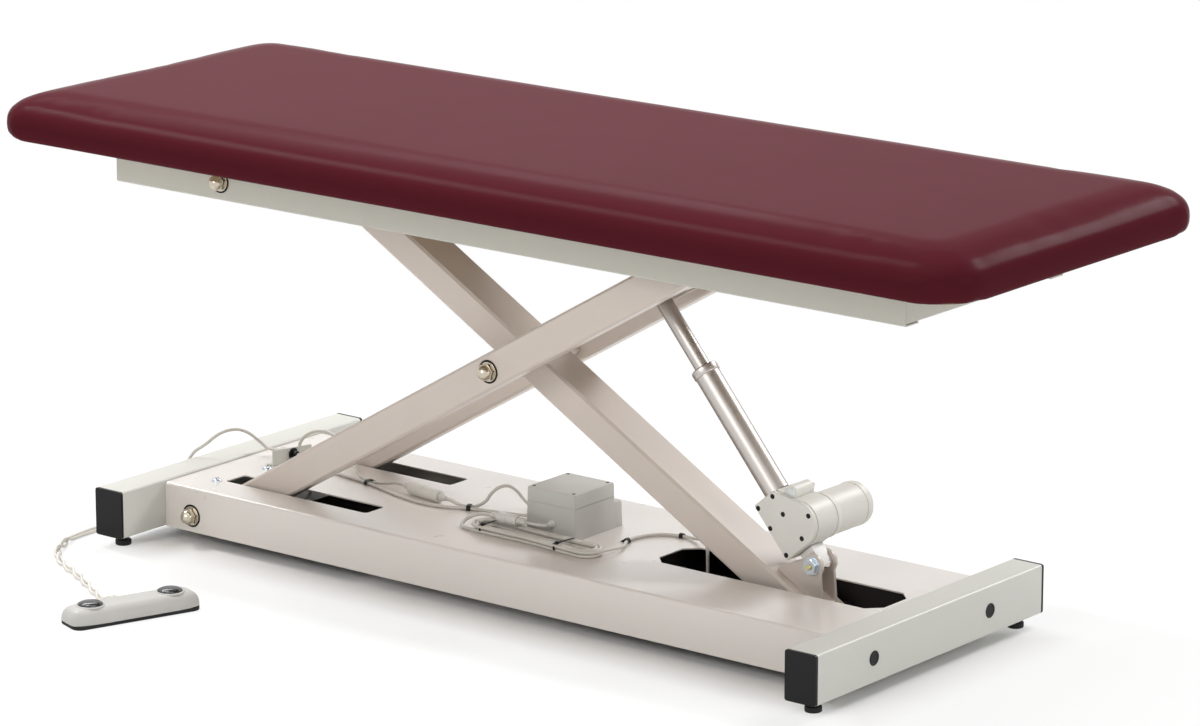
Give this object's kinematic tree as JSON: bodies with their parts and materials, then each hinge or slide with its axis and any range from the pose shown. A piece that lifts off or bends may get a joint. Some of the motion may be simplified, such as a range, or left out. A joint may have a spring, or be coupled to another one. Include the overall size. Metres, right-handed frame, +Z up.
{
  "type": "scissor-lift treatment table",
  "caption": "Treatment table with a flat padded top on a scissor lift, driven by an electric linear actuator and a corded foot control.",
  "frame": {"origin": "on the floor, under the middle of the whole object without its free cords", "axes": "+X along the table from the fixed pivots to the rollers, +Y away from the foot control, +Z up"},
  "size_m": [1.93, 1.013, 0.7497],
  "materials": {
    "frame_paint": "pale grey-white powder coat, satin",
    "arm_paint": "warm off-white powder coat, satin",
    "black_plastic": "black moulded plastic, lightly textured",
    "bright_steel": "ground and plated steel",
    "nickel": "nickel plate",
    "yellow_zinc": "yellow zinc plate",
    "light_grey_plastic": "light grey moulded plastic",
    "cable_sheath": "off-white cable sheath",
    "board": "sealed plywood",
    "burgundy_vinyl": "burgundy upholstery vinyl over foam, satin, fine grain"
  },
  "bodies": {
    "base": {"base_pivot_bolt": "bright_steel", "base_pivot_nut": "nickel", "base_track": "bright_steel", "cap_left_far": "black_plastic", "cap_left_near": "black_plastic", "cap_right_far": "black_plastic", "cap_right_near": "black_plastic", "chassis": "arm_paint", "cord_bracket": "frame_paint", "foot_control_housing": "light_grey_plastic", "foot_control_sole": "black_plastic", "foot_cord": "cable_sheath", "foot_cord_plug": "black_plastic", "foot_cord_return": "cable_sheath", "left_bar": "frame_paint", "link_cable": "cable_sheath", "link_connector": "cable_sheath", "motor_cable": "cable_sheath", "motor_connector": "cable_sheath", "power_box": "light_grey_plastic", "right_bar": "frame_paint", "socket_cable": "cable_sheath"},
    "button_left": {"foot_button_left": "black_plastic"},
    "button_right": {"foot_button_right": "black_plastic"},
    "outer_arms": {"centre_bolt": "bright_steel", "centre_nut": "nickel", "outer_arm_far": "arm_paint", "outer_arm_near": "arm_paint", "rod_bracket": "arm_paint", "top_axle": "bright_steel"},
    "inner_arms": {"actuator_ears": "arm_paint", "base_axle": "bright_steel", "inner_arm": "arm_paint", "lower_pin": "yellow_zinc"},
    "top_roller_near_body": {"top_roller_near": "black_plastic"},
    "top_roller_far_body": {"top_roller_far": "black_plastic"},
    "base_roller_near_body": {"base_roller_near": "black_plastic"},
    "base_roller_far_body": {"base_roller_far": "black_plastic"},
    "table_top": {"cushion": "burgundy_vinyl", "frame_end_left": "frame_paint", "frame_end_right": "frame_paint", "frame_rail_far": "frame_paint", "frame_rail_near": "frame_paint", "pad_board": "board", "top_pivot_bolt": "bright_steel", "top_pivot_nut": "nickel", "top_track_far": "bright_steel", "top_track_near": "bright_steel"},
    "actuator": {"actuator_tube": "bright_steel", "gearbox_cover": "light_grey_plastic", "gearbox_housing": "light_grey_plastic", "motor_housing": "light_grey_plastic", "motor_lead": "cable_sheath", "rear_clevis": "yellow_zinc"},
    "actuator_rod": {"actuator_rod": "bright_steel", "rod_pin": "bright_steel"},
    "foot_left_near_body": {"foot_left_near": "black_plastic"},
    "foot_left_far_body": {"foot_left_far": "black_plastic"},
    "foot_right_near_body": {"foot_right_near": "black_plastic"},
    "foot_right_far_body": {"foot_right_far": "black_plastic"}
  },
  "joints": [
    {"name": "lift", "type": "hinge", "parent": "base", "child": "outer_arms", "pos_m": [-0.6588, 0.16348, 0.0481], "axis": [0, -1, 0], "range_deg": [-12, 10.7]},
    {"name": "scissor", "type": "hinge", "parent": "outer_arms", "child": "inner_arms", "pos_m": [-0.07469, 0.16348, 0.37589], "axis": [0, -1, 0], "range_deg": [-21.5, 24.1]},
    {"name": "level", "type": "hinge", "parent": "inner_arms", "child": "table_top", "pos_m": [-0.56991, 0.16348, 0.63149], "axis": [0, -1, 0], "range_deg": [-12.1, 10.8]},
    {"name": "actuator_tilt", "type": "hinge", "parent": "inner_arms", "child": "actuator", "pos_m": [0.4881, 0.16348, 0.13389], "axis": [0, -1, 0], "range_deg": [-2.19, 2.46]},
    {"name": "stroke", "type": "slide", "parent": "actuator", "child": "actuator_rod", "axis": [-0.6386, 0, 0.7695], "range_m": [-0.11046, 0.09854]},
    {"name": "foot_button_left_press", "type": "slide", "parent": "base", "child": "button_left", "axis": [0, 0, -1], "range_m": [0, 0.003], "stiffness_N_per_m": 600},
    {"name": "foot_button_right_press", "type": "slide", "parent": "base", "child": "button_right", "axis": [0, 0, -1], "range_m": [0, 0.003], "stiffness_N_per_m": 600},
    {"name": "top_roller_near_spin", "type": "hinge", "parent": "outer_arms", "child": "top_roller_near_body", "pos_m": [0.42054, 0.16348, 0.63149], "axis": [0, 1, 0], "continuous": true},
    {"name": "top_roller_far_spin", "type": "hinge", "parent": "outer_arms", "child": "top_roller_far_body", "pos_m": [0.42054, 0.16348, 0.63149], "axis": [0, 1, 0], "continuous": true},
    {"name": "base_roller_near_spin", "type": "hinge", "parent": "inner_arms", "child": "base_roller_near_body", "pos_m": [0.50942, 0.16348, 0.0481], "axis": [0, 1, 0], "continuous": true},
    {"name": "base_roller_far_spin", "type": "hinge", "parent": "inner_arms", "child": "base_roller_far_body", "pos_m": [0.50942, 0.16348, 0.0481], "axis": [0, 1, 0], "continuous": true},
    {"name": "foot_left_near_turn", "type": "hinge", "parent": "base", "child": "foot_left_near_body", "pos_m": [-0.7469, -0.10652, 0], "axis": [0, 0, 1], "continuous": true},
    {"name": "foot_left_far_turn", "type": "hinge", "parent": "base", "child": "foot_left_far_body", "pos_m": [-0.7469, 0.43348, 0], "axis": [0, 0, 1], "continuous": true},
    {"name": "foot_right_near_turn", "type": "hinge", "parent": "base", "child": "foot_right_near_body", "pos_m": [0.6743, -0.10652, 0], "axis": [0, 0, 1], "continuous": true},
    {"name": "foot_right_far_turn", "type": "hinge", "parent": "base", "child": "foot_right_far_body", "pos_m": [0.6743, 0.43348, 0], "axis": [0, 0, 1], "continuous": true}
  ],
  "couplings": [
    {"joint": "scissor", "follows": "lift", "ratio": -2},
    {"joint": "level", "follows": "lift", "ratio": 1},
    {"joint": "actuator_tilt", "follows": "lift", "ratio": -0.204},
    {"joint": "stroke", "follows": "lift", "m_per_rad": 0.525}
  ]
}
